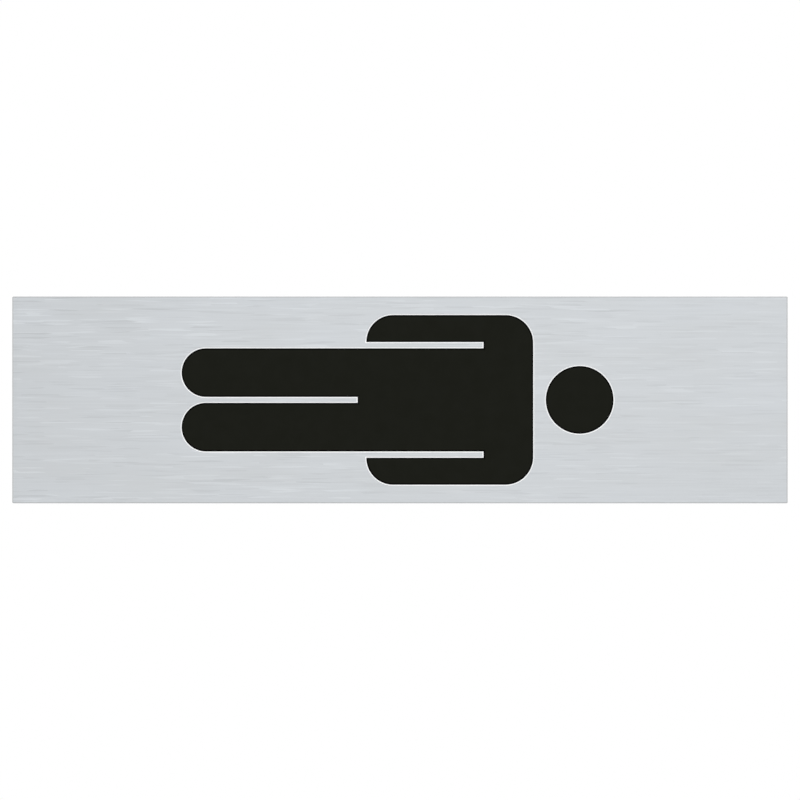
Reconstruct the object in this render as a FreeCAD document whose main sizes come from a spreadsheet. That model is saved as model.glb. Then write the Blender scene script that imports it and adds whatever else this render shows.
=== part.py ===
"""Men's toilet sign: a brushed aluminium door plate with the figure of a man engraved and filled.

The plate stands as it is shown, on its long side, facing -Y. X runs along the plate towards the
head of the figure, Z is up and the plane y = 0 is the door that the foam pad sticks to. The origin
is the middle of that plane. The figure lies on its side, so "up" for the man is +X.

Each piece is drawn on its own XZ plane, whose normal points to -Y, the side of the viewer, and is
carried to its depth by its Placement. The outline of the figure is drawn twice from the same
sizes, once for the recess in the plate and once for the filling that lies in it.
"""
import FreeCAD, Part
import math
import os

import Sketcher
from FreeCAD import Vector

# Driving dimensions in millimetres: the alias of the cell, its number and what it measures.
SIZES = (
    ("plate_length", "165", "plate, long side"),
    ("plate_height", "44", "plate, short side"),
    ("plate_thick", "1.5", "aluminium sheet"),
    ("corner_radius", "0.25", "plate corners, seen from the front"),
    ("edge_break", "0.2", "bevel along the plate's outer edges"),
    ("engrave_depth", "0.2", "recesses, below the plate's face"),
    ("bevel_width", "0.28", "bright bevel round a recess, seen from the front"),
    ("bevel_depth", "0.1", "bright bevel round a recess, below the plate's face"),
    ("figure_shift", "-0.5", "middle of the plate to the middle of the figure, along X"),
    ("head_diameter", "14.3", "disc of the head"),
    ("neck_gap", "2.8", "bare metal between the head and the shoulders"),
    ("body_length", "74.7", "shoulders to the ends of the feet"),
    ("arm_margin", "4", "bare metal between an arm and the plate's long edge"),
    ("shoulder_radius", "5.85", "round of each shoulder"),
    ("arm_width", "5.63", "one arm, and the round of its hand"),
    ("arm_length", "35.4", "shoulders to the ends of the hands"),
    ("arm_gap", "1.45", "bare metal between an arm and the torso"),
    ("armpit_depth", "10.45", "shoulders to the inner ends of the arm gaps"),
    ("leg_gap", "1.38", "bare metal between the legs"),
    ("crotch_depth", "37.25", "shoulders to the inner end of the leg gap"),
    ("pad_margin", "3", "bare back of the plate around the foam pad"),
    ("pad_corner", "2", "round corners of the foam pad"),
    ("pad_thick", "1", "foam pad"),
)

# Places and lengths worked out from the driving dimensions.
FIGURE_SPAN = "(Sizes.body_length + Sizes.neck_gap + Sizes.head_diameter)"
HEAD_X = f"Sizes.figure_shift + ({FIGURE_SPAN} - Sizes.head_diameter) / 2"
SHOULDER_X = f"Sizes.figure_shift + {FIGURE_SPAN} / 2 - Sizes.head_diameter - Sizes.neck_gap"
FIGURE_WIDTH = "(Sizes.plate_height - 2 * Sizes.arm_margin)"
TORSO_HALF = f"({FIGURE_WIDTH} / 2 - Sizes.arm_width - Sizes.arm_gap)"
LEG_RADIUS = f"(({TORSO_HALF} - Sizes.leg_gap / 2) / 2)"
FOOT_DEPTH = f"Sizes.body_length - {LEG_RADIUS}"
PAD_LENGTH = "Sizes.plate_length - 2 * Sizes.pad_margin"
PAD_HEIGHT = "Sizes.plate_height - 2 * Sizes.pad_margin"
FILL_THICK = "Sizes.engrave_depth - Sizes.bevel_depth"
PLATE_BACK_Y = "-Sizes.pad_thick"
RECESS_FLOOR_Y = "Sizes.engrave_depth - Sizes.plate_thick - Sizes.pad_thick"

# How the sketcher numbers the origin, the X axis and the points of an edge.
ORIGIN = (-1, 1)
X_AXIS = -1
START, END, CENTRE = 1, 2, 3

# Turns in radians.
FULL = 2 * math.pi
HALF = FULL / 2
QUARTER = FULL / 4

# An extent below this, in millimetres, counts as none.
NONE = 1e-6


def make_sheet(doc):
    """The spreadsheet of driving dimensions."""
    sheet = doc.addObject("Spreadsheet::Sheet", "Sizes")
    for row, (alias, number, meaning) in enumerate(SIZES, start=1):
        sheet.set(f"A{row}", meaning)
        sheet.set(f"B{row}", number)
        sheet.setAlias(f"B{row}", alias)
    doc.recompute()


def make_body(doc, label, depth=None):
    """An empty body with its own name, carried to its depth in front of the door."""
    body = doc.addObject("PartDesign::Body", label)
    body.Label = label
    if depth:
        body.setExpression("Placement.Base.y", depth)
    return body


def new_sketch(body, name, offset=None):
    """A sketch on the body's own XZ plane, or in front of it by an expression."""
    plane = next(f for f in body.Origin.OriginFeatures if f.Role == "XZ_Plane")
    sketch = body.newObject("Sketcher::SketchObject", name)
    sketch.AttachmentSupport = [(plane, "")]
    sketch.MapMode = "FlatFace"
    if offset:
        sketch.setExpression("AttachmentOffset.Base.z", offset)
    return sketch


def relate(sketch, kind, *where):
    """Adds a constraint that has no size."""
    sketch.addConstraint(Sketcher.Constraint(kind, *where))


def size(sketch, name, expression, kind, *where):
    """Adds a named size to a sketch and ties it to the sheet."""
    value = float(sketch.evalExpression(expression))
    index = sketch.addConstraint(Sketcher.Constraint(kind, *where, value))
    sketch.renameConstraint(index, name)
    sketch.setExpression(f"Constraints.{name}", expression)


def draw_rectangle(sketch, length, height):
    """A rectangle about the origin."""
    x = float(sketch.evalExpression(length)) / 2
    y = float(sketch.evalExpression(height)) / 2
    corners = [Vector(-x, -y, 0), Vector(x, -y, 0), Vector(x, y, 0), Vector(-x, y, 0)]
    bottom, right, top, left = (
        sketch.addGeometry(Part.LineSegment(corners[i], corners[(i + 1) % 4]), False)
        for i in range(4)
    )
    for first, second in ((bottom, right), (right, top), (top, left), (left, bottom)):
        relate(sketch, "Coincident", first, END, second, START)
    for level in (bottom, top):
        relate(sketch, "Horizontal", level)
    for upright in (right, left):
        relate(sketch, "Vertical", upright)
    relate(sketch, "Symmetric", bottom, START, top, START, *ORIGIN)
    size(sketch, "length", length, "DistanceX", bottom, START, bottom, END)
    size(sketch, "height", height, "DistanceY", right, START, right, END)


def draw_head(sketch):
    """The disc of the head, on the figure's middle line."""
    place = float(sketch.evalExpression(HEAD_X))
    radius = float(sketch.evalExpression("Sizes.head_diameter")) / 2
    circle = Part.Circle(Vector(place, 0, 0), Vector(0, 0, 1), radius)
    head = sketch.addGeometry(circle, False)
    relate(sketch, "PointOnObject", head, CENTRE, X_AXIS)
    size(sketch, "diameter", "Sizes.head_diameter", "Diameter", head)
    size(sketch, "place", HEAD_X, "DistanceX", *ORIGIN, head, CENTRE)


def draw_figure(sketch):
    """Shoulders, arms, torso and legs as one closed outline, symmetrical about the X axis.

    The outline runs anticlockwise from the lower shoulder, so that every edge ends where the next
    one starts, and every arc turns the same way.
    """
    def value(expression):
        return float(sketch.evalExpression(expression))

    shoulder_x = value(SHOULDER_X)
    foot_x = shoulder_x - value(FOOT_DEPTH)
    crotch_x = shoulder_x - value("Sizes.crotch_depth")
    armpit_x = shoulder_x - value("Sizes.armpit_depth")
    hand_x = shoulder_x - value("Sizes.arm_length")
    arm = value("Sizes.arm_width")
    outside = value(FIGURE_WIDTH) / 2
    torso = value(TORSO_HALF)
    gap = value("Sizes.leg_gap") / 2
    leg = value(LEG_RADIUS)
    round_off = value("Sizes.shoulder_radius")

    def line(x1, y1, x2, y2):
        return sketch.addGeometry(Part.LineSegment(Vector(x1, y1, 0), Vector(x2, y2, 0)), False)

    def arc(x, y, radius, first, last):
        circle = Part.Circle(Vector(x, y, 0), Vector(0, 0, 1), radius)
        return sketch.addGeometry(Part.ArcOfCircle(circle, first, last), False)

    shoulders = line(shoulder_x, round_off - outside, shoulder_x, outside - round_off)
    upper_shoulder = arc(shoulder_x - round_off, outside - round_off, round_off, 0, QUARTER)
    upper_arm = line(shoulder_x - round_off, outside, hand_x + arm, outside)
    upper_hand = arc(hand_x + arm, outside - arm, arm, QUARTER, HALF)
    upper_sleeve = line(hand_x, outside - arm, armpit_x, outside - arm)
    upper_armpit = line(armpit_x, outside - arm, armpit_x, torso)
    upper_side = line(armpit_x, torso, foot_x, torso)
    upper_foot = arc(foot_x, gap + leg, leg, QUARTER, HALF + QUARTER)
    upper_inseam = line(foot_x, gap, crotch_x, gap)
    crotch = line(crotch_x, gap, crotch_x, -gap)
    lower_inseam = line(crotch_x, -gap, foot_x, -gap)
    lower_foot = arc(foot_x, -gap - leg, leg, QUARTER, HALF + QUARTER)
    lower_side = line(foot_x, -torso, armpit_x, -torso)
    lower_armpit = line(armpit_x, -torso, armpit_x, arm - outside)
    lower_sleeve = line(armpit_x, arm - outside, hand_x, arm - outside)
    lower_hand = arc(hand_x + arm, arm - outside, arm, HALF, HALF + QUARTER)
    lower_arm = line(hand_x + arm, -outside, shoulder_x - round_off, -outside)
    lower_shoulder = arc(
        shoulder_x - round_off, round_off - outside, round_off, HALF + QUARTER, FULL
    )

    levels = (
        upper_arm, upper_sleeve, upper_side, upper_inseam,
        lower_inseam, lower_side, lower_sleeve, lower_arm,
    )
    for level in levels:
        relate(sketch, "Horizontal", level)
    for upright in (upper_armpit, lower_armpit):
        relate(sketch, "Vertical", upright)

    smooth = (
        (shoulders, upper_shoulder), (upper_shoulder, upper_arm), (upper_arm, upper_hand),
        (upper_side, upper_foot), (upper_foot, upper_inseam),
        (lower_inseam, lower_foot), (lower_foot, lower_side),
        (lower_hand, lower_arm), (lower_arm, lower_shoulder), (lower_shoulder, shoulders),
    )
    for first, second in smooth:
        relate(sketch, "Tangent", first, END, second, START)
    sharp = (
        (upper_hand, upper_sleeve), (upper_sleeve, upper_armpit), (upper_armpit, upper_side),
        (upper_inseam, crotch), (crotch, lower_inseam),
        (lower_side, lower_armpit), (lower_armpit, lower_sleeve), (lower_sleeve, lower_hand),
    )
    for first, second in sharp:
        relate(sketch, "Coincident", first, END, second, START)

    relate(sketch, "Symmetric", shoulders, START, shoulders, END, X_AXIS)
    relate(sketch, "Symmetric", crotch, START, crotch, END, X_AXIS)
    relate(sketch, "Horizontal", upper_hand, CENTRE, upper_hand, END)
    relate(sketch, "Horizontal", lower_hand, START, lower_hand, CENTRE)
    relate(sketch, "Vertical", upper_hand, CENTRE, lower_hand, CENTRE)
    relate(sketch, "Vertical", upper_armpit, START, lower_armpit, END)
    relate(sketch, "Vertical", upper_foot, CENTRE, lower_foot, CENTRE)
    pairs = ((upper_shoulder, lower_shoulder), (upper_hand, lower_hand), (upper_foot, lower_foot))
    for first, second in pairs:
        relate(sketch, "Equal", first, second)

    size(sketch, "place", SHOULDER_X, "DistanceX", *ORIGIN, shoulders, START)
    size(sketch, "width", FIGURE_WIDTH, "DistanceY", lower_arm, END, upper_arm, START)
    size(sketch, "shoulder_round", "Sizes.shoulder_radius", "Radius", upper_shoulder)
    size(sketch, "hand_round", "Sizes.arm_width", "Radius", upper_hand)
    size(sketch, "hand", "Sizes.arm_length", "DistanceX", upper_sleeve, START, shoulders, END)
    size(sketch, "armpit", "Sizes.armpit_depth", "DistanceX", upper_armpit, START, shoulders, END)
    size(sketch, "arm_gap", "Sizes.arm_gap", "DistanceY", upper_armpit, END, upper_armpit, START)
    size(sketch, "leg_gap", "Sizes.leg_gap", "DistanceY", crotch, END, crotch, START)
    size(sketch, "crotch", "Sizes.crotch_depth", "DistanceX", crotch, START, shoulders, END)
    size(sketch, "foot", FOOT_DEPTH, "DistanceX", upper_foot, CENTRE, shoulders, END)


def pad(body, name, sketch, thickness):
    """Thickens a sketch towards the viewer."""
    made = body.newObject("PartDesign::Pad", name)
    made.Profile = sketch
    made.setExpression("Length", thickness)
    return made


def recess(body, name, sketch, depth):
    """Cuts a sketch away from the viewer, into the solid behind it."""
    made = body.newObject("PartDesign::Pocket", name)
    made.Profile = sketch
    made.setExpression("Length", depth)
    return made


def names_of(shape, wanted):
    """The names, such as Edge3, of a shape's edges that are among those wanted."""
    return [
        f"Edge{number}"
        for number, edge in enumerate(shape.Edges, start=1)
        if any(edge.isSame(other) for other in wanted)
    ]


def upright_edges(shape):
    """The names of the straight edges that run along Y."""
    wanted = [e for e in shape.Edges if e.BoundBox.XLength + e.BoundBox.ZLength < NONE]
    return names_of(shape, wanted)


def face_towards(shape, direction):
    """The flat face that lies furthest in a direction along Y."""
    flats = [f for f in shape.Faces if f.BoundBox.YLength < NONE]
    return max(flats, key=lambda f: f.CenterOfMass.y * direction)


def dress(body, kind, name, base, edges, expression):
    """Rounds or bevels some edges of the body's last feature."""
    made = body.newObject(f"PartDesign::{kind}", name)
    made.Base = (base, edges)
    made.setExpression("Radius" if kind == "Fillet" else "Size", expression)
    return made


def make_plate(doc):
    """The aluminium plate, with the recesses of the figure and the head in its face."""
    body = make_body(doc, "sign_plate", PLATE_BACK_Y)
    outline = new_sketch(body, "PlateOutline")
    draw_rectangle(outline, "Sizes.plate_length", "Sizes.plate_height")
    sheet = pad(body, "Sheet", outline, "Sizes.plate_thick")
    doc.recompute()

    corners = dress(
        body, "Fillet", "Corners", sheet, upright_edges(sheet.Shape), "Sizes.corner_radius"
    )
    doc.recompute()
    rims = [face_towards(corners.Shape, way).OuterWire.Edges for way in (-1, 1)]
    dress(
        body, "Chamfer", "EdgeBreak", corners, names_of(corners.Shape, rims[0] + rims[1]),
        "Sizes.edge_break",
    )

    figure = new_sketch(body, "FigureRecessOutline", "Sizes.plate_thick")
    draw_figure(figure)
    recess(body, "FigureRecess", figure, "Sizes.engrave_depth")
    head = new_sketch(body, "HeadRecessOutline", "Sizes.plate_thick")
    draw_head(head)
    head_recess = recess(body, "HeadRecess", head, "Sizes.engrave_depth")
    doc.recompute()

    # The bevel's first size goes down the wall of a recess, and its second across the face.
    face = face_towards(head_recess.Shape, -1)
    mouths = [e for wire in face.Wires if not wire.isSame(face.OuterWire) for e in wire.Edges]
    bevel = dress(
        body, "Chamfer", "CutBevel", head_recess, names_of(head_recess.Shape, mouths),
        "Sizes.bevel_depth",
    )
    bevel.ChamferType = "Two distances"
    bevel.FlipDirection = True
    bevel.setExpression("Size2", "Sizes.bevel_width")
    return body


def make_inlay(doc, label, draw):
    """Black filling that lies on the floor of a recess and ends below its bevel."""
    body = make_body(doc, label, RECESS_FLOOR_Y)
    outline = new_sketch(body, label + "_outline")
    draw(outline)
    pad(body, label + "_fill", outline, FILL_THICK)
    return body


def make_foam_pad(doc):
    """Die-cut double-sided foam pad behind the plate. Its back is what sticks to the door."""
    body = make_body(doc, "adhesive_pad")
    outline = new_sketch(body, "PadOutline")
    draw_rectangle(outline, PAD_LENGTH, PAD_HEIGHT)
    foam = pad(body, "Foam", outline, "Sizes.pad_thick")
    doc.recompute()
    dress(body, "Fillet", "PadCorners", foam, upright_edges(foam.Shape), "Sizes.pad_corner")
    return body


def check(doc, bodies):
    """Stops with a message if a feature failed or a solid is not sound."""
    for item in doc.Objects:
        if {"Invalid", "Error"} & set(item.State):
            raise RuntimeError(f"{item.Label} failed: {item.State}")
        if item.TypeId == "Sketcher::SketchObject" and not item.FullyConstrained:
            raise RuntimeError(f"{item.Label} is not fully constrained")
    for body in bodies:
        if body.Shape.isNull() or not body.Shape.isValid() or len(body.Shape.Solids) != 1:
            raise RuntimeError(f"{body.Label} is not one sound solid")


document = FreeCAD.newDocument("mens_toilet_sign")
make_sheet(document)
pieces = [
    make_plate(document),
    make_inlay(document, "figure_inlay", draw_figure),
    make_inlay(document, "head_inlay", draw_head),
    make_foam_pad(document),
]
document.recompute()
check(document, pieces)

os.makedirs("parts", exist_ok=True)
for piece in pieces:
    box = piece.Shape.BoundBox
    print(
        f"{piece.Label}: {box.XLength:.2f} x {box.YLength:.2f} x {box.ZLength:.2f} mm,"
        f" {piece.Shape.Volume:.1f} mm3, {len(piece.Shape.Faces)} faces"
    )
    piece.Shape.exportStep(os.path.join("parts", piece.Label + ".step"))
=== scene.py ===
# %% [markdown]
# # A men's toilet sign in brushed aluminium
#
# The real sign is a stiff aluminium plate, 165 by 44 mm, that sticks to a door. The plain figure of
# a man is cut a fifth of a millimetre deep into its brushed face and filled with black enamel. A
# thin bevel, cut bright by the tool, runs round the filling. On the back is a foam pad.
#
# The measured model of the sign is loaded first and stays where it is. Every piece that this
# lesson models takes its place and size from it, in metres: X runs along the plate towards the
# head of the figure, Z is up, and the viewer stands at -Y.

# %% Load the measured model
import math

import bmesh
import bpy
from mathutils import Matrix, Vector


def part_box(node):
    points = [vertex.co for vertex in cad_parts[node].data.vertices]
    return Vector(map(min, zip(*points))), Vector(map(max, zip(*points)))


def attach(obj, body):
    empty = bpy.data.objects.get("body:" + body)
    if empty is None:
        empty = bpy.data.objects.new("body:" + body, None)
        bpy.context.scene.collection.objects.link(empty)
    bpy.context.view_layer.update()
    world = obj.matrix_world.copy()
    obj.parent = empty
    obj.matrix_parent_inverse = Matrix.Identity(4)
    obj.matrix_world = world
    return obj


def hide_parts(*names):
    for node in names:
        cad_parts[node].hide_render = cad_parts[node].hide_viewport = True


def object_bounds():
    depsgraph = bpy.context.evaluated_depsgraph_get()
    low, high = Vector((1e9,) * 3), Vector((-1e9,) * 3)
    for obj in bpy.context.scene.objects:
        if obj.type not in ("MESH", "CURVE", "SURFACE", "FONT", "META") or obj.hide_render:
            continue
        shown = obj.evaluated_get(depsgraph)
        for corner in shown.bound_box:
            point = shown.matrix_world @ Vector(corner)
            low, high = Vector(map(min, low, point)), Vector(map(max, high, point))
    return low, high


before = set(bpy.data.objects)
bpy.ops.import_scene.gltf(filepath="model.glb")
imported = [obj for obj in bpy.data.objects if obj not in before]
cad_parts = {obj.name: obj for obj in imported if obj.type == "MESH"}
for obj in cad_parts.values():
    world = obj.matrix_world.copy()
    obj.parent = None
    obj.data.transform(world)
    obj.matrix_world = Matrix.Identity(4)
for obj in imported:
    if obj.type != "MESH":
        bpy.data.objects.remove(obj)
cad_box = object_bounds()

plate_low, plate_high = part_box("sign_plate")
figure_low, figure_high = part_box("figure_inlay")
head_low, head_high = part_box("head_inlay")
foam_low, foam_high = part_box("adhesive_pad")
for node in sorted(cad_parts):
    low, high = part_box(node)
    print(node, "mm:", [round(1000 * size, 2) for size in high - low])

# %% [markdown]
# ## The camera
#
# The photograph looks squarely at the plate: all four edges are straight and level, and no side of
# the plate shows. A long lens from some way off gives that view. The plate's ends in the picture
# give the size of one pixel, and that sets the lens.

# %% Camera
PHOTO_SIDE = 800                                # pixels, both ways
PLATE_LEFT, PLATE_RIGHT = 12.25, 787.65         # pixel columns of the plate's ends
PLATE_TOP, PLATE_BOTTOM = 296.55, 503.25        # pixel rows of its long edges
CAMERA_DISTANCE = 0.7

pixel = (plate_high.x - plate_low.x) / (PLATE_RIGHT - PLATE_LEFT)
camera_data = bpy.data.cameras.new("camera")
camera_data.lens = camera_data.sensor_width * CAMERA_DISTANCE / (PHOTO_SIDE * pixel)
camera_data.clip_start = 0.01
camera = bpy.data.objects.new("camera", camera_data)
camera.location = (
    (PHOTO_SIDE - PLATE_LEFT - PLATE_RIGHT) / 2 * pixel,
    plate_low.y - CAMERA_DISTANCE,
    (PLATE_TOP + PLATE_BOTTOM - PHOTO_SIDE) / 2 * pixel,
)
camera.rotation_euler = (math.radians(90), 0, 0)
bpy.context.scene.collection.objects.link(camera)
bpy.context.scene.camera = camera
print(f"one pixel is {1000 * pixel:.4f} mm, lens {camera_data.lens:.1f} mm")

# %% [markdown]
# ## Finishing a mesh
#
# Every piece below is shaped as a bmesh. The same few steps turn each into an object: doubled
# points are merged, faces are turned outwards, and edges are marked sharp where the real thing has
# a corner, so that arcs made of many short edges shade as one smooth curve. The rim of a flat front
# or back is marked too: if it shared its normals with the rounding beside it, it would shade as if
# it were domed.

# %% From bmesh to piece
MM = 0.001
MERGE = 0.0005 * MM                             # points closer than this are one
CORNER = math.radians(20)                       # a sharper turn than this is a real corner
FLAT = 0.99999                                  # how nearly a flat face's normal lies along Y


def is_corner(edge):
    """Whether an edge is a real corner, or the rim of a flat front or back."""
    flats = sum(abs(face.normal.y) > FLAT for face in edge.link_faces)
    return flats == 1 or edge.calc_face_angle(0) > CORNER


def make_piece(name, bm, materials):
    """Makes a bmesh a piece that belongs to the sign."""
    bmesh.ops.remove_doubles(bm, verts=bm.verts[:], dist=MERGE)
    bmesh.ops.recalc_face_normals(bm, faces=bm.faces[:])
    for face in bm.faces:
        face.smooth = True
    for edge in bm.edges:
        edge.smooth = not is_corner(edge)
    open_edges = sum(not edge.is_manifold for edge in bm.edges)
    volume = bm.calc_volume(signed=True)
    mesh = bpy.data.meshes.new(name)
    bm.to_mesh(mesh)
    bm.free()
    for material in materials:
        mesh.materials.append(material)
    piece = bpy.data.objects.new(name, mesh)
    bpy.context.scene.collection.objects.link(piece)
    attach(piece, "root")
    print(f"{name}: {len(mesh.polygons)} faces, {open_edges} open edges, {volume / MM**3:.1f} mm3")
    return piece


# %% [markdown]
# ## Colours and nodes
#
# Colours are written as sRGB hex values, as they are read off a picture. Blender's nodes want
# linear light, so one function turns one into the other. A second one adds a node with its
# settings, its values and its links, so that each material below reads as a recipe. A Mix node has
# sockets for numbers, vectors and colours, several under one name, so those for colours are found
# by their place.
#
# A pattern needs a real size too. A noise texture has about one grain per unit of its coordinates,
# so coordinates that count millimetres, divided by the size of a grain, give grains of that size.
# Object coordinates stay with the piece from every side, and need no unwrapping.

# %% Helpers for materials
MIX_A, MIX_B, MIXED = 6, 7, 2                   # the colour sockets of a Mix node


def linear(hex_colour):
    """Turns an sRGB hex colour into the linear RGBA that nodes use."""
    parts = [int(hex_colour[i:i + 2], 16) / 255 for i in (1, 3, 5)]
    return [p / 12.92 if p <= 0.04045 else ((p + 0.055) / 1.055) ** 2.4 for p in parts] + [1.0]


def add_node(tree, kind, links=None, values=None, **settings):
    """Adds a node with its settings, the values of its sockets and its incoming links."""
    node = tree.nodes.new(kind)
    for name, setting in settings.items():
        setattr(node, name, setting)
    for socket, value in (values or {}).items():
        node.inputs[socket].default_value = value
    for socket, source in (links or {}).items():
        tree.links.new(source, node.inputs[socket])
    return node


def start_material(name, values):
    """A material, with the sockets of its own shader set."""
    material = bpy.data.materials.new(name)
    material.use_nodes = True
    shader = material.node_tree.nodes["Principled BSDF"]
    for socket, value in values.items():
        shader.inputs[socket].default_value = value
    return material, material.node_tree, shader


def counted_in(tree, size):
    """Places on the piece, counted in grains of a real size along X, Y and Z."""
    place = add_node(tree, "ShaderNodeTexCoord").outputs["Object"]
    scale = [1 / extent for extent in size]
    counted = add_node(tree, "ShaderNodeMapping", {"Vector": place}, {"Scale": scale})
    return counted.outputs["Vector"]


# %% [markdown]
# ## Brushed aluminium
#
# The face is aluminium sheet that an abrasive belt has brushed along its length, under a clear
# satin anodising. From a step away it is an even pale grey. Close up it is full of dashes, lighter
# and darker than the rest, 2 to 12 mm long. They are stronger in some areas than in others, and
# soft patches a centimetre or two across lie under them.
#
# An image of brushed metal would do it, but a pattern made of nodes needs none and never repeats.
# A Voronoi texture is stretched along X until each of its cells is one dash with a brightness of
# its own. Only the lightest and the darkest cells are kept, so that the dashes stay apart as on
# the real sheet. Stretched noise adds longer strokes and the patches, and one wide noise says
# where the dashes are strong. The belt also bit harder at the left end than at the right, so their
# strength falls along X. Real scratches are about 0.05 mm wide and would melt into one grey at
# this distance, so the dashes are as wide as they need to be to show.
#
# Brushing also spreads a reflection out across its own direction. That is the shader's anisotropy:
# its tangent comes from a UV map that the plate gets further down.

# %% Aluminium, brushed
DASH = (6 * MM, 0.3 * MM, 0.3 * MM)             # the size of one, along X, Y and Z
DASH_CONTRAST = 0.085                           # how much lighter or darker than the metal
DASH_SHARE = 0.18                               # the share of light cells, and of dark ones
DASH_DEPTH = 0.004 * MM
STROKE = (30 * MM, 0.4 * MM, 0.4 * MM)
STROKE_CONTRAST = 0.022
PATCH = (24 * MM, 7 * MM, 7 * MM)
AREA = (45 * MM, 16 * MM, 16 * MM)
AREA_DASHES = (0.7, 1.25)                       # their strength in a calm area and a busy one
BITE = (1.2, 0.6)                               # of the belt, at the left end and at the right


def brushed_aluminium():
    """Anodised aluminium with a belt-brushed face."""
    material, tree, shader = start_material(
        "aluminium_brushed", {"Metallic": 1.0, "Roughness": 0.34, "Anisotropic": 0.6}
    )
    cells = add_node(
        tree, "ShaderNodeTexVoronoi", {"Vector": counted_in(tree, DASH)}, {"Scale": 1.0}
    )
    each = add_node(tree, "ShaderNodeSeparateColor", {"Color": cells.outputs["Color"]})
    dash = each.outputs[0]
    stroke = add_node(
        tree, "ShaderNodeTexNoise", {"Vector": counted_in(tree, STROKE)},
        {"Scale": 1.0, "Detail": 2.0, "Roughness": 0.6},
    )
    patch = add_node(
        tree, "ShaderNodeTexNoise", {"Vector": counted_in(tree, PATCH)},
        {"Scale": 1.0, "Detail": 1.0, "Roughness": 0.6},
    )
    area = add_node(
        tree, "ShaderNodeTexNoise", {"Vector": counted_in(tree, AREA)},
        {"Scale": 1.0, "Detail": 1.0, "Roughness": 0.6},
    )

    bright = add_node(
        tree, "ShaderNodeMapRange", {"Value": dash},
        {"From Min": 1 - DASH_SHARE, "From Max": 1.0, "To Min": 0.0, "To Max": DASH_CONTRAST},
    )
    dark = add_node(
        tree, "ShaderNodeMapRange", {"Value": dash},
        {"From Min": DASH_SHARE, "From Max": 0.0, "To Min": 0.0, "To Max": DASH_CONTRAST},
    )
    signed = add_node(
        tree, "ShaderNodeMath", {0: bright.outputs[0], 1: dark.outputs[0]}, operation="SUBTRACT"
    )
    busy = add_node(
        tree, "ShaderNodeMapRange", {"Value": area.outputs["Fac"]},
        {
            "From Min": 0.35, "From Max": 0.65,
            "To Min": AREA_DASHES[0], "To Max": AREA_DASHES[1],
        },
    )
    place = add_node(tree, "ShaderNodeTexCoord").outputs["Object"]
    along = add_node(tree, "ShaderNodeSeparateXYZ", {"Vector": place})
    bite = add_node(
        tree, "ShaderNodeMapRange", {"Value": along.outputs["X"]},
        {
            "From Min": plate_low.x, "From Max": plate_high.x,
            "To Min": BITE[0], "To Max": BITE[1],
        },
    )
    strong = add_node(
        tree, "ShaderNodeMath", {0: busy.outputs[0], 1: bite.outputs[0]}, operation="MULTIPLY"
    )
    dashes = add_node(
        tree, "ShaderNodeMath", {0: signed.outputs[0], 1: strong.outputs[0]}, operation="MULTIPLY"
    )
    strokes = add_node(
        tree, "ShaderNodeMapRange", {"Value": stroke.outputs["Fac"]},
        {
            "From Min": 0.3, "From Max": 0.7,
            "To Min": 1 - STROKE_CONTRAST, "To Max": 1 + STROKE_CONTRAST,
        },
    )
    grain = add_node(
        tree, "ShaderNodeMath", {0: dashes.outputs[0], 1: strokes.outputs[0]}, operation="ADD"
    )
    tint = add_node(
        tree, "ShaderNodeMix", {"Factor": patch.outputs["Fac"]},
        {MIX_A: linear("#C0C3C5"), MIX_B: linear("#C5C9CD")}, data_type="RGBA",
    )
    colour = add_node(
        tree, "ShaderNodeVectorMath", {0: tint.outputs[MIXED], "Scale": grain.outputs[0]},
        operation="SCALE",
    )
    scratches = add_node(
        tree, "ShaderNodeBump", {"Height": dash}, {"Distance": DASH_DEPTH, "Strength": 1.0}
    )
    across = add_node(tree, "ShaderNodeTangent", direction_type="UV_MAP", uv_map="across_brushing")
    tree.links.new(colour.outputs[0], shader.inputs["Base Color"])
    tree.links.new(scratches.outputs[0], shader.inputs["Normal"])
    tree.links.new(across.outputs[0], shader.inputs["Tangent"])
    return material


# %% [markdown]
# ## The other bare metal
#
# Three more finishes are on the same plate. The bevel round the filling is cut through the
# anodising by an engraving cutter. It is bare metal, lighter than the face, and the fine marks of
# the cutter scatter the light, so it shows as a thin light line on every side. The outer edges are
# sheared and then broken with a file: duller, with marks that cross the thickness. The back is mill
# finish, as it left the rolls, with faint marks along the sheet.

# %% Aluminium, cut, sheared and rolled
CUTTER_MARK = (0.4 * MM, 0.4 * MM, 0.4 * MM)
SHEAR_MARK = (0.25 * MM, 3 * MM, 0.25 * MM)
ROLL_MARK = (30 * MM, 1.2 * MM, 1.2 * MM)


def cut_aluminium():
    """The bare bevel that the cutter leaves at the mouth of a recess."""
    material, tree, shader = start_material(
        "aluminium_bright_cut", {"Metallic": 1.0, "Roughness": 0.65}
    )
    marks = add_node(
        tree, "ShaderNodeTexNoise", {"Vector": counted_in(tree, CUTTER_MARK)},
        {"Scale": 1.0, "Detail": 1.0, "Roughness": 0.6},
    )
    tint = add_node(
        tree, "ShaderNodeMix", {"Factor": marks.outputs["Fac"]},
        {MIX_A: linear("#F4F6F7"), MIX_B: linear("#FFFFFF")}, data_type="RGBA",
    )
    tree.links.new(tint.outputs[MIXED], shader.inputs["Base Color"])
    return material


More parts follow.
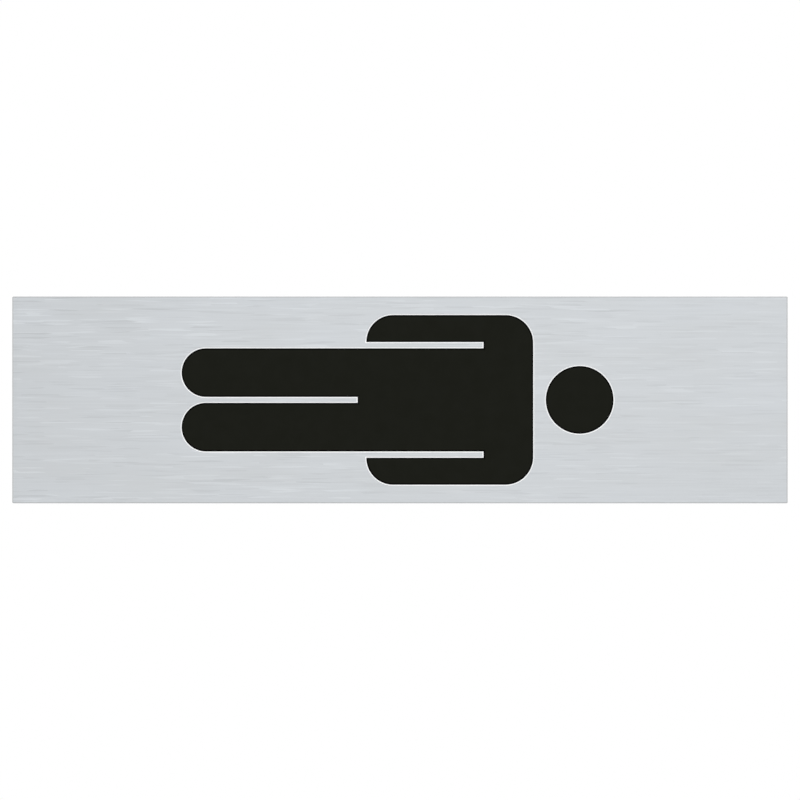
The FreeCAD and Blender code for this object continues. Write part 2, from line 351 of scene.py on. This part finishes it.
def sheared_aluminium():
    """The plate's outer edges, sheared and broken with a file."""
    material, tree, shader = start_material(
        "aluminium_sheared", {"Metallic": 1.0, "Roughness": 0.5}
    )
    marks = add_node(
        tree, "ShaderNodeTexNoise", {"Vector": counted_in(tree, SHEAR_MARK)},
        {"Scale": 1.0, "Detail": 2.0, "Roughness": 0.6},
    )
    tint = add_node(
        tree, "ShaderNodeMix", {"Factor": marks.outputs["Fac"]},
        {MIX_A: linear("#AEB0B1"), MIX_B: linear("#C4C6C7")}, data_type="RGBA",
    )
    burrs = add_node(
        tree, "ShaderNodeBump", {"Height": marks.outputs["Fac"]},
        {"Distance": 0.02 * MM, "Strength": 1.0},
    )
    tree.links.new(tint.outputs[MIXED], shader.inputs["Base Color"])
    tree.links.new(burrs.outputs[0], shader.inputs["Normal"])
    return material


def rolled_aluminium():
    """The back of the plate, as it left the rolling mill."""
    material, tree, shader = start_material(
        "aluminium_mill_finish", {"Metallic": 1.0, "Roughness": 0.28, "Anisotropic": 0.3}
    )
    marks = add_node(
        tree, "ShaderNodeTexNoise", {"Vector": counted_in(tree, ROLL_MARK)},
        {"Scale": 1.0, "Detail": 3.0, "Roughness": 0.6},
    )
    tint = add_node(
        tree, "ShaderNodeMix", {"Factor": marks.outputs["Fac"]},
        {MIX_A: linear("#B6BABC"), MIX_B: linear("#CBCFD1")}, data_type="RGBA",
    )
    ripples = add_node(
        tree, "ShaderNodeBump", {"Height": marks.outputs["Fac"]},
        {"Distance": 0.01 * MM, "Strength": 1.0},
    )
    across = add_node(tree, "ShaderNodeTangent", direction_type="UV_MAP", uv_map="across_brushing")
    tree.links.new(tint.outputs[MIXED], shader.inputs["Base Color"])
    tree.links.new(ripples.outputs[0], shader.inputs["Normal"])
    tree.links.new(across.outputs[0], shader.inputs["Tangent"])
    return material


# %% [markdown]
# ## Drawing the figure
#
# The man is a handful of straight runs with rounded corners: shoulders, hands and feet are arcs,
# and the gaps beside the arms and between the legs end square. So he is drawn from his corners, as
# a sign maker would: ten points for the upper half, a vertex bevel for each radius, and a mirror
# for the lower half. A bevel with a profile of 0.5 turns a square corner into a true arc.
#
# The same drawing is needed twice: as it is, for the filling, and a little larger, for the mouth of
# the recess. Growing every run outwards by one distance, and every radius with it, gives both.
#
# A hand is rounded on its outer side only, by a radius as wide as the arm, so its arc should end in
# the corner on the inner side. The bevel stops just short of it, and that end is merged with the
# corner, because the insets made later can't cross so short an edge.

# %% Figure and head, as flat faces
ARM_WIDTH = 5.63 * MM
ARM_LENGTH = 35.4 * MM
ARM_GAP = 1.45 * MM
ARMPIT_DEPTH = 10.45 * MM
SHOULDER_RADIUS = 5.85 * MM
LEG_GAP = 1.38 * MM
CROTCH_DEPTH = 37.25 * MM
ARC_STEPS = 20

torso_half = figure_high.z - ARM_WIDTH - ARM_GAP
leg_radius = (torso_half - LEG_GAP / 2) / 2


def round_corners(bm, corners, radius):
    """Turns square corners of a flat face into arcs."""
    bmesh.ops.bevel(
        bm, geom=corners, offset=radius, offset_type="OFFSET", segments=ARC_STEPS, profile=0.5,
        affect="VERTICES", clamp_overlap=False, material=-1,
    )


def face_viewer(face):
    """Turns a flat face towards -Y."""
    face.normal_update()
    if face.normal.y > 0:
        face.normal_flip()
    return face


def draw_figure(bm, depth, grow=0.0):
    """Adds the figure as one flat face and returns it."""
    outside, sleeve = figure_high.z + grow, figure_high.z - ARM_WIDTH - grow
    side, inseam = torso_half + grow, LEG_GAP / 2 - grow
    shoulder, toe = figure_high.x + grow, figure_low.x - grow
    hand = figure_high.x - ARM_LENGTH - grow
    armpit = figure_high.x - ARMPIT_DEPTH - grow
    crotch = figure_high.x - CROTCH_DEPTH - grow
    corners = [
        bm.verts.new((x, depth, z))
        for x, z in (
            (shoulder, 0), (shoulder, outside), (hand, outside), (hand, sleeve),
            (armpit, sleeve), (armpit, side), (toe, side), (toe, inseam),
            (crotch, inseam), (crotch, 0),
        )
    ]
    bm.faces.new(corners)
    first, hand_corner, last = corners[0], corners[3], corners[-1]
    shoulders, hands, feet = corners[1:2], corners[2:3], corners[6:8]
    round_corners(bm, shoulders, SHOULDER_RADIUS + grow)
    round_corners(bm, hands, ARM_WIDTH + grow)
    round_corners(bm, feet, leg_radius + grow)
    beside = [edge.other_vert(hand_corner) for edge in hand_corner.link_edges]
    arc_end = min(beside, key=lambda vert: (vert.co - hand_corner.co).length)
    bmesh.ops.pointmerge(bm, verts=[hand_corner, arc_end], merge_co=hand_corner.co)
    bmesh.ops.remove_doubles(bm, verts=list(first.link_faces[0].verts), dist=MERGE)
    (half,) = first.link_faces
    bmesh.ops.mirror(
        bm, geom=[half, *half.edges, *half.verts], matrix=Matrix.Identity(4),
        merge_dist=MERGE, axis="Z",
    )
    middle = bm.edges.get((first, last))
    bmesh.ops.recalc_face_normals(bm, faces=list(middle.link_faces))
    bmesh.ops.dissolve_edges(bm, edges=[middle])
    (figure,) = first.link_faces
    return face_viewer(figure)


def draw_head(bm, depth, grow=0.0):
    """Adds the disc of the head as one flat face and returns it."""
    centre = (head_low + head_high) / 2
    place = Matrix.Translation((centre.x, depth, centre.z)) @ Matrix.Rotation(math.pi / 2, 4, "X")
    made = bmesh.ops.create_circle(
        bm, cap_ends=True, segments=4 * ARC_STEPS, radius=(head_high.z - head_low.z) / 2 + grow,
        matrix=place,
    )
    return face_viewer(made["verts"][0].link_faces[0])


print(f"legs {2000 * leg_radius:.2f} mm wide, head {1000 * (head_high - head_low).z:.2f} mm")

# %% [markdown]
# ## The plate
#
# The blank is a box. Its four corners get a small radius and the edges round both faces are broken,
# which keeps a door plate from catching a sleeve. The front is then taken off and filled anew
# between its rim and the mouths of the two recesses: a fill knows that a loop inside another is a
# hole. A boolean would cut the same holes, but leaves edges wherever it likes.
#
# Each recess starts as the flat face inside its mouth. One inset that also sinks makes the bevel,
# and an extrusion makes the wall down to the floor.

# %% Shape the plate
CORNER_RADIUS = 0.25 * MM
CORNER_STEPS = 8
EDGE_BREAK = 0.2 * MM
EDGE_STEPS = 5
BEVEL_WIDTH = 0.28 * MM
BEVEL_DEPTH = figure_low.y - plate_low.y
BRUSHED, CUT, SHEARED, ROLLED = range(4)


def make_block(bm, low, high, corner_radius):
    """Adds a box between two corners, with its four edges along Y rounded."""
    size = high - low
    place = Matrix.Translation((low + high) / 2) @ Matrix.Diagonal((*size, 1))
    made = bmesh.ops.create_cube(bm, size=1.0, matrix=place)
    edges = {edge for vert in made["verts"] for edge in vert.link_edges}
    across = [e for e in edges if abs((e.verts[0].co - e.verts[1].co).y) > size.y / 2]
    soften(bm, across, corner_radius, CORNER_STEPS)


def soften(bm, edges, radius, steps):
    """Rounds edges of a solid."""
    bmesh.ops.bevel(
        bm, geom=edges, offset=radius, offset_type="OFFSET", segments=steps, profile=0.5,
        affect="EDGES", clamp_overlap=True, material=-1,
    )


def flat_face(bm, depth):
    """The largest face that lies at a depth."""
    flat = [f for f in bm.faces if all(abs(v.co.y - depth) < MERGE for v in f.verts)]
    return max(flat, key=lambda f: f.calc_area())


def sink(bm, face, width, depth):
    """Insets a flat face and pushes it back. Returns the faces of the slope round it."""
    return bmesh.ops.inset_region(
        bm, faces=[face], thickness=width, depth=-depth, use_boundary=True, use_even_offset=True
    )["faces"]


def push_back(bm, face, depth):
    """Extrudes a flat face away from the viewer. Returns the face at its new place."""
    (moved,) = bmesh.ops.extrude_discrete_faces(bm, faces=[face])["faces"]
    bmesh.ops.translate(bm, verts=list(moved.verts), vec=(0, depth, 0))
    return moved


def shape_plate():
    """The plate with both recesses, as a closed solid."""
    bm = bmesh.new()
    make_block(bm, plate_low, plate_high, CORNER_RADIUS)
    ends = [flat_face(bm, plate_low.y), flat_face(bm, plate_high.y)]
    soften(bm, [edge for face in ends for edge in face.edges], EDGE_BREAK, EDGE_STEPS)
    for face in bm.faces:
        face.material_index = SHEARED
    flat_face(bm, plate_high.y).material_index = ROLLED

    front = flat_face(bm, plate_low.y)
    rim = list(front.edges)
    bmesh.ops.delete(bm, geom=[front], context="FACES_ONLY")
    recesses = [draw_figure(bm, plate_low.y, BEVEL_WIDTH), draw_head(bm, plate_low.y, BEVEL_WIDTH)]
    mouths = [edge for face in recesses for edge in face.edges]
    filled = bmesh.ops.triangle_fill(bm, use_beauty=True, edges=rim + mouths, normal=(0, -1, 0))
    for piece in filled["geom"]:
        if isinstance(piece, bmesh.types.BMFace):
            piece.material_index = BRUSHED

    for recess in recesses:
        for face in sink(bm, recess, BEVEL_WIDTH, BEVEL_DEPTH):
            face.material_index = CUT
        recess.material_index = CUT
        push_back(bm, recess, figure_high.y - figure_low.y)
    return bm


def lay_brushing(bm):
    """A UV map whose U runs up the plate: brushed metal spreads its gloss across the brushing."""
    layer = bm.loops.layers.uv.new("across_brushing")
    for face in bm.faces:
        for loop in face.loops:
            loop[layer].uv = (loop.vert.co.z / MM, loop.vert.co.x / MM)


# %% Make the plate a piece
plate_mesh = shape_plate()
lay_brushing(plate_mesh)
plate = make_piece(
    "brushed_plate", plate_mesh,
    [brushed_aluminium(), cut_aluminium(), sheared_aluminium(), rolled_aluminium()],
)
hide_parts("sign_plate")

# %% [markdown]
# ## Black enamel
#
# The filling is signwriter's enamel: a thick black paint, run into the recess, levelled and left to
# harden. It is matt and very even, a warm black. Where it meets the metal it creeps a few
# hundredths of a millimetre up the bevel, as paint does, so its surface dips inside its rim. Along
# that rim the black is painted darker still: painted shade at the edge of the recess.
#
# The painted shade could be a material of its own, but that would end in a hard line. A number on
# each point, 1 at the rim and 0 inside, lets the one material fade between the two blacks.

# %% Enamel
LEVELLING = (3 * MM, 3 * MM, 3 * MM)            # the slight waves that a brush leaves
CLIMB = 0.06 * MM                               # how far it creeps out over the bevel
# The third number of each ring is its share of the painted shade at the rim.
RIM_RINGS = (                                   # width, dip, and 1 for the deep black
    (0.26 * MM, 0.016 * MM, 1.0),
    (0.12 * MM, 0.006 * MM, 0.0),
)


def enamel():
    """Black enamel, matt, with painted shade at its rim."""
    material, tree, shader = start_material(
        "enamel_black_matt", {"Roughness": 0.55, "Specular IOR Level": 0.03}
    )
    waves = add_node(
        tree, "ShaderNodeTexNoise", {"Vector": counted_in(tree, LEVELLING)},
        {"Scale": 1.0, "Detail": 2.0, "Roughness": 0.6},
    )
    rim = add_node(tree, "ShaderNodeAttribute", attribute_name="rim", attribute_type="GEOMETRY")
    body = add_node(
        tree, "ShaderNodeMix", {"Factor": waves.outputs["Fac"]},
        {MIX_A: linear("#181913"), MIX_B: linear("#1D1E19")}, data_type="RGBA",
    )
    # 030303 is painted shade along the rim of the recess, faded in by the rim number.
    colour = add_node(
        tree, "ShaderNodeMix", {"Factor": rim.outputs["Fac"], MIX_A: body.outputs[MIXED]},
        {MIX_B: linear("#030303")}, data_type="RGBA",
    )
    unevenness = add_node(
        tree, "ShaderNodeBump", {"Height": waves.outputs["Fac"]},
        {"Distance": 0.01 * MM, "Strength": 1.0},
    )
    tree.links.new(colour.outputs[MIXED], shader.inputs["Base Color"])
    tree.links.new(unevenness.outputs[0], shader.inputs["Normal"])
    return material


def pour(name, draw, low, high, material):
    """Fills a recess with enamel, from its floor to a thin rim on the bevel."""
    bm = bmesh.new()
    rim = bm.verts.layers.float.new("rim")
    floor = draw(bm, high.y)
    foot = draw(bm, low.y)
    surface = draw(bm, low.y - CLIMB * BEVEL_DEPTH / BEVEL_WIDTH, CLIMB)
    loops = [list(face.edges) for face in (floor, foot, surface)]
    bmesh.ops.delete(bm, geom=[foot], context="FACES_ONLY")
    bmesh.ops.bridge_loops(bm, edges=loops[0] + loops[1])
    bmesh.ops.bridge_loops(bm, edges=loops[1] + loops[2])
    # The rim number is 1 where painted shade darkens the enamel and 0 where it keeps its own black.
    for vert in bm.verts:
        vert[rim] = 1.0
    for width, dip, painted_shade in RIM_RINGS:
        sink(bm, surface, width, dip)
        for vert in surface.verts:
            vert[rim] = painted_shade
    return make_piece(name, bm, [material])


# %% Fill the recesses
black = enamel()
figure_filling = pour("figure_enamel", draw_figure, figure_low, figure_high, black)
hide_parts("figure_inlay")
head_filling = pour("head_enamel", draw_head, head_low, head_high, black)
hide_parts("head_inlay")

# %% [markdown]
# ## Foam pad
#
# The sign sticks to its door with a pad of closed-cell polyethylene foam tape, a millimetre thick,
# die-cut with round corners. Foam is soft: both faces lie flat, against the plate and against the
# door, and the cut sides between them draw in a little and show the cells, painted darker in their
# pits as shade. A clear acrylic film covers both faces. It has a wet gloss that the cut sides don't
# have, and faint lines along the tape from the blade that spread it, and the cells of the foam show
# through it, painted darker in the grooves between them as shade and a little lighter on their
# domes.
#
# A pressed slab this thin has no crown to inflate, so it isn't simulated. Loops cut through its
# thickness are drawn in towards the middle.

# %% Foam and adhesive
CELL = (0.25 * MM, 0.25 * MM, 0.25 * MM)
CELL_THROUGH_FILM = (0.7 * MM, 0.7 * MM, 0.7 * MM)  # drawn coarser than it is, to show
SPREAD_LINE = (40 * MM, 1.6 * MM, 1.6 * MM)
PAD_CORNER = 2.0 * MM
PAD_EDGE = 0.1 * MM
PAD_EDGE_STEPS = 3
PAD_LOOPS = 5
PAD_DRAW_IN = 0.12 * MM
FOAM, ADHESIVE = range(2)


def foam():
    """Off-white polyethylene foam, cut, with open cells along the cut, painted darker in their pits
    as shade.
    """
    material, tree, shader = start_material("foam_polyethylene", {"Roughness": 0.9})
    cells = add_node(
        tree, "ShaderNodeTexVoronoi", {"Vector": counted_in(tree, CELL)}, {"Scale": 1.0}
    )
    # Darker towards the middle of each cell, where the bump below sinks a pit: painted shade in the
    # open cells.
    tint = add_node(
        tree, "ShaderNodeMix", {"Factor": cells.outputs["Distance"]},
        {MIX_A: linear("#D2D0C6"), MIX_B: linear("#ECEAE2")}, data_type="RGBA",
    )
    pits = add_node(
        tree, "ShaderNodeBump", {"Height": cells.outputs["Distance"]},
        {"Distance": 0.08 * MM, "Strength": 1.0},
    )
    tree.links.new(tint.outputs[MIXED], shader.inputs["Base Color"])
    tree.links.new(pits.outputs[0], shader.inputs["Normal"])
    return material


def adhesive():
    """Clear acrylic adhesive over the foam: glossy, with the lines of the blade and painted shade
    between the cells.
    """
    material, tree, shader = start_material(
        "adhesive_acrylic", {"Roughness": 0.6, "Coat Weight": 0.6, "Coat Roughness": 0.12}
    )
    lines = add_node(
        tree, "ShaderNodeTexNoise", {"Vector": counted_in(tree, SPREAD_LINE)},
        {"Scale": 1.0, "Detail": 2.0, "Roughness": 0.6},
    )
    cells = add_node(
        tree, "ShaderNodeTexVoronoi", {"Vector": counted_in(tree, CELL_THROUGH_FILM)},
        {"Scale": 1.0},
    )
    film = add_node(
        tree, "ShaderNodeMix", {"Factor": lines.outputs["Fac"]},
        {MIX_A: linear("#D3D1C6"), MIX_B: linear("#E4E2D8")}, data_type="RGBA",
    )
    # A little lighter on the domes of the cells and darker in the grooves between them, where the
    # bump sinks: painted light and shade.
    shade = add_node(
        tree, "ShaderNodeMapRange", {"Value": cells.outputs["Distance"]},
        {"From Min": 0.0, "From Max": 0.8, "To Min": 1.03, "To Max": 0.93},
    )
    colour = add_node(
        tree, "ShaderNodeVectorMath", {0: film.outputs[MIXED], "Scale": shade.outputs[0]},
        operation="SCALE",
    )
    relief = add_node(
        tree, "ShaderNodeBump", {"Height": lines.outputs["Fac"]},
        {"Distance": 0.03 * MM, "Strength": 1.0},
    )
    pits = add_node(
        tree, "ShaderNodeBump",
        {"Height": cells.outputs["Distance"], "Normal": relief.outputs[0]},
        {"Distance": -0.02 * MM, "Strength": 1.0},
    )
    tree.links.new(colour.outputs[0], shader.inputs["Base Color"])
    tree.links.new(pits.outputs[0], shader.inputs["Normal"])
    tree.links.new(pits.outputs[0], shader.inputs["Coat Normal"])
    return material


# %% Shape the pad
def shape_pad():
    """A slab with round corners, its rims soft and its sides drawn in."""
    bm = bmesh.new()
    make_block(bm, foam_low, foam_high, PAD_CORNER)
    through = [e for e in bm.edges if abs((e.verts[0].co - e.verts[1].co).y) > PAD_EDGE]
    bmesh.ops.subdivide_edges(bm, edges=through, cuts=PAD_LOOPS, use_grid_fill=True)
    bm.normal_update()
    middle = (foam_low.y + foam_high.y) / 2
    half = (foam_high.y - foam_low.y) / 2
    inside = [v for v in bm.verts if abs(v.co.y - middle) < half - MERGE]
    for vert in inside:
        reach = (vert.co.y - middle) / half
        outward = Vector((vert.normal.x, 0, vert.normal.z)).normalized()
        vert.co -= outward * PAD_DRAW_IN * (1 - reach**2)
    for face in bm.faces:
        face.material_index = ADHESIVE if abs(face.normal.y) > FLAT else FOAM
    rims = [e for e in bm.edges if {f.material_index for f in e.link_faces} == {FOAM, ADHESIVE}]
    soften(bm, rims, PAD_EDGE, PAD_EDGE_STEPS)
    return bm


pad = make_piece("foam_tape", shape_pad(), [foam(), adhesive()])
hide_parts("adhesive_pad")

# %% [markdown]
# ## Light, world and floor
#
# The photograph is a catalogue picture: pure white all round and no shadow. White light from every
# side gives the metal its even tone. A large lamp, above the camera and to the right, adds the last
# few percent, so that the upper right of the plate is a little lighter. A long low one fills in the
# left, and a third lights the back.
#
# The front lamps stand near the camera on purpose. A flat plate mirrors what is straight in front
# of it, and its bevels mirror what is far off to their own side. A lamp out there would make the
# bevels on one side flare and leave the others dull.
#
# The world is white where the camera and the metal see it, and a little dimmer where it only
# lights, so that colours come out as they are written. The floor is far enough below the sign to
# stay out of the picture. For the camera it glows white, with a pale share that lets the shadow
# show, and it fades into the white towards its edge. Its underside is clear, so that the sign can
# be looked at from below as well.

# %% World
WORLD_LIGHT = 0.9

world = bpy.data.worlds.new("studio")
world.use_nodes = True
bpy.context.scene.world = world
tree = world.node_tree
background = tree.nodes["Background"]
background.inputs["Color"].default_value = (1, 1, 1, 1)
seen = add_node(tree, "ShaderNodeLightPath")
camera_or_gloss = add_node(
    tree, "ShaderNodeMath",
    {0: seen.outputs["Is Camera Ray"], 1: seen.outputs["Is Glossy Ray"]}, operation="MAXIMUM",
)
seen_at_all = add_node(
    tree, "ShaderNodeMath",
    {0: camera_or_gloss.outputs[0], 1: seen.outputs["Is Transmission Ray"]}, operation="MAXIMUM",
)
strength = add_node(
    tree, "ShaderNodeMapRange", {"Value": seen_at_all.outputs[0]},
    {"To Min": WORLD_LIGHT, "To Max": 1.0},
)
tree.links.new(strength.outputs[0], background.inputs["Strength"])

# %% Lamps
LAMPS = (                                       # name, place, width, height, watts
    ("key", (0.35, -1.2, 0.28), 1.1, 0.5, 0.8),
    ("fill", (-0.4, -1.25, -0.12), 1.4, 0.3, 0.38),
    ("back", (0.2, 1.0, 0.9), 0.9, 0.9, 3.4),
)


def hang_lamp(name, place, width, height, watts):
    """A soft lamp that faces the sign."""
    data = bpy.data.lights.new(name, "AREA")
    data.shape = "RECTANGLE"
    data.size = width
    data.size_y = height
    data.energy = watts
    lamp = bpy.data.objects.new(name, data)
    lamp.location = place
    lamp.rotation_euler = (-Vector(place)).to_track_quat("-Z", "Y").to_euler()
    bpy.context.scene.collection.objects.link(lamp)
    print(f"{name} lamp: {Vector(place).length:.2f} m away, {watts} W")


for lamp in LAMPS:
    hang_lamp(*lamp)

# %% Floor
FLOOR_DROP = 0.2                                # below the sign
FLOOR_RADIUS = 0.9
FLOOR_STEPS = 96
FLOOR_FADE = (0.5, 0.855)                       # from its middle, where it turns into pure glow
FLOOR_GLOW = 0.7                                # the share that only glows, at the middle


def floor_white():
    """White matt board that fades into the background towards its edge."""
    material, tree, shader = start_material(
        "board_white_matt", {"Base Color": linear("#FAFAFA"), "Roughness": 0.9}
    )
    output = tree.nodes["Material Output"]
    place = add_node(tree, "ShaderNodeTexCoord").outputs["Object"]
    flat = add_node(tree, "ShaderNodeVectorMath", {0: place}, {1: (1, 1, 0)}, operation="MULTIPLY")
    reach = add_node(tree, "ShaderNodeVectorMath", {0: flat.outputs[0]}, operation="LENGTH")
    white = add_node(
        tree, "ShaderNodeMapRange", {"Value": reach.outputs["Value"]},
        {
            "From Min": FLOOR_FADE[0], "From Max": FLOOR_FADE[1],
            "To Min": FLOOR_GLOW, "To Max": 1.0,
        },
    )
    seen = add_node(tree, "ShaderNodeLightPath")
    camera_or_gloss = add_node(
        tree, "ShaderNodeMath",
        {0: seen.outputs["Is Camera Ray"], 1: seen.outputs["Is Glossy Ray"]},
        operation="MAXIMUM",
    )
    share = add_node(
        tree, "ShaderNodeMath", {0: white.outputs[0], 1: camera_or_gloss.outputs[0]},
        operation="MULTIPLY",
    )
    glow = add_node(tree, "ShaderNodeEmission", values={"Color": (1, 1, 1, 1), "Strength": 1.0})
    mixed = add_node(
        tree, "ShaderNodeMixShader",
        {0: share.outputs[0], 1: shader.outputs[0], 2: glow.outputs[0]},
    )
    side = add_node(tree, "ShaderNodeNewGeometry")
    clear = add_node(tree, "ShaderNodeBsdfTransparent")
    one_sided = add_node(
        tree, "ShaderNodeMixShader",
        {0: side.outputs["Backfacing"], 1: mixed.outputs[0], 2: clear.outputs[0]},
    )
    tree.links.new(one_sided.outputs[0], output.inputs["Surface"])
    return material


floor_mesh = bmesh.new()
bmesh.ops.create_circle(
    floor_mesh, cap_ends=True, segments=FLOOR_STEPS, radius=FLOOR_RADIUS,
    matrix=Matrix.Translation((0, 0, cad_box[0].z - FLOOR_DROP)),
)
floor_data = bpy.data.meshes.new("floor")
floor_mesh.to_mesh(floor_data)
floor_mesh.free()
floor_data.materials.append(floor_white())
floor = bpy.data.objects.new("floor", floor_data)
bpy.context.scene.collection.objects.link(floor)

bpy.context.scene.view_settings.view_transform = "Standard"
